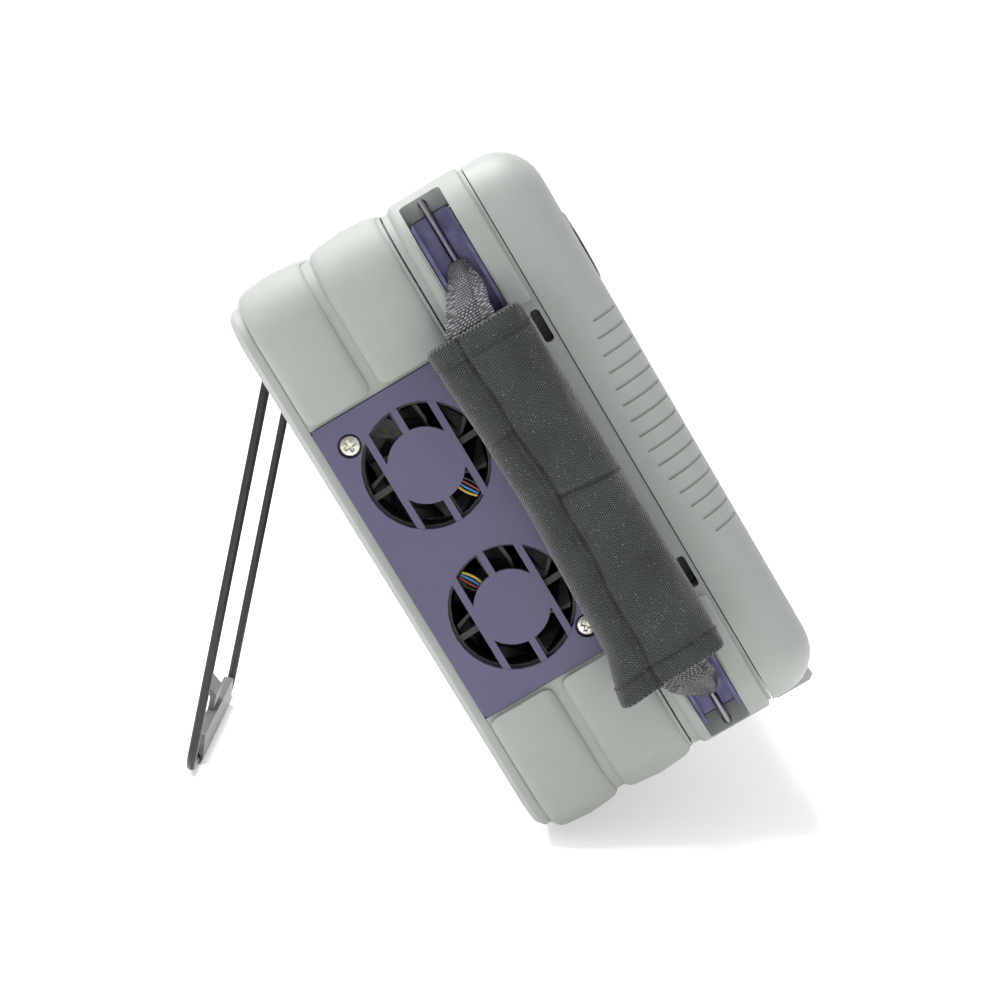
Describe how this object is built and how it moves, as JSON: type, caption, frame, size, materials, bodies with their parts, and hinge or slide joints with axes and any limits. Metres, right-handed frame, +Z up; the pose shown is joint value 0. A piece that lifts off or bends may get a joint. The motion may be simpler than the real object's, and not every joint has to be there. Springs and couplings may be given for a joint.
{
  "type": "portable spectrum analyzer",
  "caption": "Portable spectrum analyzer leaning on a folding wire bail, with side fans, a padded carrying strap, a large display, keys and a tuning knob.",
  "frame": {"origin": "middle of the object's box, on the surface that it stands on", "axes": "+Z up; +X to the user's right, along the instrument's width; -Y to the user, the way the display looks. The case leans back 30 degrees about X, as it stands on its bail"},
  "size_m": [0.3064, 0.213, 0.2153],
  "materials": {
    "black_fabric": "black woven nylon",
    "black_plastic": "matte black moulding",
    "black_wire": "black coated wire",
    "bright_steel": "bright steel",
    "circuit_board": "green solder mask",
    "display_glass": "glossy dark cover glass",
    "foot_plastic": "mid grey rubber",
    "grey_plastic": "satin grey-green moulded plastic",
    "grey_rubber": "satin grey-green moulded rubber",
    "key_rubber": "dark grey silicone rubber",
    "lead_insulation": "yellow wire insulation",
    "module_can": "bare shielding can",
    "nickel": "nickel-plated brass",
    "purple_metal": "satin indigo paint"
  },
  "bodies": {
    "case": {"back_cover": "grey_plastic", "battery_door": "grey_plastic", "battery_pack": "black_plastic", "corner_bumper_bottom_left": "grey_rubber", "corner_bumper_bottom_right": "grey_rubber", "corner_bumper_top_left": "grey_rubber", "corner_bumper_top_right": "grey_rubber", "display_glass": "display_glass", "fan_frame_lower": "black_plastic", "fan_frame_upper": "black_plastic", "fan_lead_lower": "lead_insulation", "fan_lead_upper": "lead_insulation", "fan_panel": "purple_metal", "front_bezel": "grey_plastic", "front_board": "circuit_board", "front_foot_left": "foot_plastic", "front_foot_right": "foot_plastic", "lcd_module": "module_can", "main_board": "circuit_board", "mid_frame": "grey_rubber", "network_jack": "bright_steel", "panel_screw_lower": "bright_steel", "panel_screw_upper": "bright_steel", "power_jack": "black_plastic", "rear_case": "grey_plastic", "rear_foot_left": "foot_plastic", "rear_foot_right": "foot_plastic", "rf_input": "nickel", "rf_module": "module_can", "rf_output": "nickel", "rf_panel": "purple_metal", "sma_connector": "nickel", "socket_channel": "purple_metal", "strap_channel": "purple_metal", "strap_rod_lower": "bright_steel", "strap_rod_upper": "bright_steel", "strap_sleeve": "black_fabric", "strap_webbing_lower": "black_fabric", "strap_webbing_upper": "black_fabric", "usb_jack": "bright_steel", "vent_panel": "purple_metal"},
    "bail": {"bail_wire": "black_wire", "bail_foot": "foot_plastic"},
    "tuning_knob": {"tuning_knob": "black_plastic"},
    "socket_door": {"socket_door": "grey_rubber"},
    "fan_rotor_upper": {"fan_rotor_upper": "black_plastic"},
    "fan_rotor_lower": {"fan_rotor_lower": "black_plastic"},
    "function_key_1": {"function_key_1": "key_rubber"},
    "function_key_2": {"function_key_2": "key_rubber"},
    "function_key_3": {"function_key_3": "key_rubber"},
    "function_key_4": {"function_key_4": "key_rubber"},
    "function_key_5": {"function_key_5": "key_rubber"},
    "function_key_6": {"function_key_6": "key_rubber"},
    "power_key": {"power_key": "key_rubber"},
    "soft_key_1": {"soft_key_1": "key_rubber"},
    "soft_key_2": {"soft_key_2": "key_rubber"},
    "soft_key_3": {"soft_key_3": "key_rubber"},
    "soft_key_4": {"soft_key_4": "key_rubber"},
    "soft_key_5": {"soft_key_5": "key_rubber"},
    "soft_key_6": {"soft_key_6": "key_rubber"}
  },
  "joints": [
    {"name": "bail_hinge", "type": "hinge", "parent": "case", "child": "bail", "pos_m": [0.00935, 0.06993, 0.14996], "axis": [1, 0, 0], "range_deg": [-42.6, 0]},
    {"name": "tuning_knob_turn", "type": "hinge", "parent": "case", "child": "tuning_knob", "pos_m": [0.11385, -0.03839, 0.17753], "axis": [0, -0.866, 0.5], "continuous": true},
    {"name": "socket_door_hinge", "type": "hinge", "parent": "case", "child": "socket_door", "pos_m": [0.15085, -0.03527, 0.12213], "axis": [0, -0.5, -0.866], "range_deg": [0, 100]},
    {"name": "fan_spin_upper", "type": "hinge", "parent": "case", "child": "fan_rotor_upper", "pos_m": [-0.13315, 0.01588, 0.12193], "axis": [1, 0, 0], "continuous": true},
    {"name": "fan_spin_lower", "type": "hinge", "parent": "case", "child": "fan_rotor_lower", "pos_m": [-0.13315, -0.00952, 0.07794], "axis": [1, 0, 0], "continuous": true},
    {"name": "function_key_1_press", "type": "slide", "parent": "case", "child": "function_key_1", "axis": [0, 0.866, -0.5], "range_m": [0, 0.0012], "stiffness_N_per_m": 300},
    {"name": "function_key_2_press", "type": "slide", "parent": "case", "child": "function_key_2", "axis": [0, 0.866, -0.5], "range_m": [0, 0.0012], "stiffness_N_per_m": 300},
    {"name": "function_key_3_press", "type": "slide", "parent": "case", "child": "function_key_3", "axis": [0, 0.866, -0.5], "range_m": [0, 0.0012], "stiffness_N_per_m": 300},
    {"name": "function_key_4_press", "type": "slide", "parent": "case", "child": "function_key_4", "axis": [0, 0.866, -0.5], "range_m": [0, 0.0012], "stiffness_N_per_m": 300},
    {"name": "function_key_5_press", "type": "slide", "parent": "case", "child": "function_key_5", "axis": [0, 0.866, -0.5], "range_m": [0, 0.0012], "stiffness_N_per_m": 300},
    {"name": "function_key_6_press", "type": "slide", "parent": "case", "child": "function_key_6", "axis": [0, 0.866, -0.5], "range_m": [0, 0.0012], "stiffness_N_per_m": 300},
    {"name": "power_key_press", "type": "slide", "parent": "case", "child": "power_key", "axis": [0, 0.866, -0.5], "range_m": [0, 0.0012], "stiffness_N_per_m": 300},
    {"name": "soft_key_1_press", "type": "slide", "parent": "case", "child": "soft_key_1", "axis": [0, 0.866, -0.5], "range_m": [0, 0.0012], "stiffness_N_per_m": 300},
    {"name": "soft_key_2_press", "type": "slide", "parent": "case", "child": "soft_key_2", "axis": [0, 0.866, -0.5], "range_m": [0, 0.0012], "stiffness_N_per_m": 300},
    {"name": "soft_key_3_press", "type": "slide", "parent": "case", "child": "soft_key_3", "axis": [0, 0.866, -0.5], "range_m": [0, 0.0012], "stiffness_N_per_m": 300},
    {"name": "soft_key_4_press", "type": "slide", "parent": "case", "child": "soft_key_4", "axis": [0, 0.866, -0.5], "range_m": [0, 0.0012], "stiffness_N_per_m": 300},
    {"name": "soft_key_5_press", "type": "slide", "parent": "case", "child": "soft_key_5", "axis": [0, 0.866, -0.5], "range_m": [0, 0.0012], "stiffness_N_per_m": 300},
    {"name": "soft_key_6_press", "type": "slide", "parent": "case", "child": "soft_key_6", "axis": [0, 0.866, -0.5], "range_m": [0, 0.0012], "stiffness_N_per_m": 300}
  ]
}
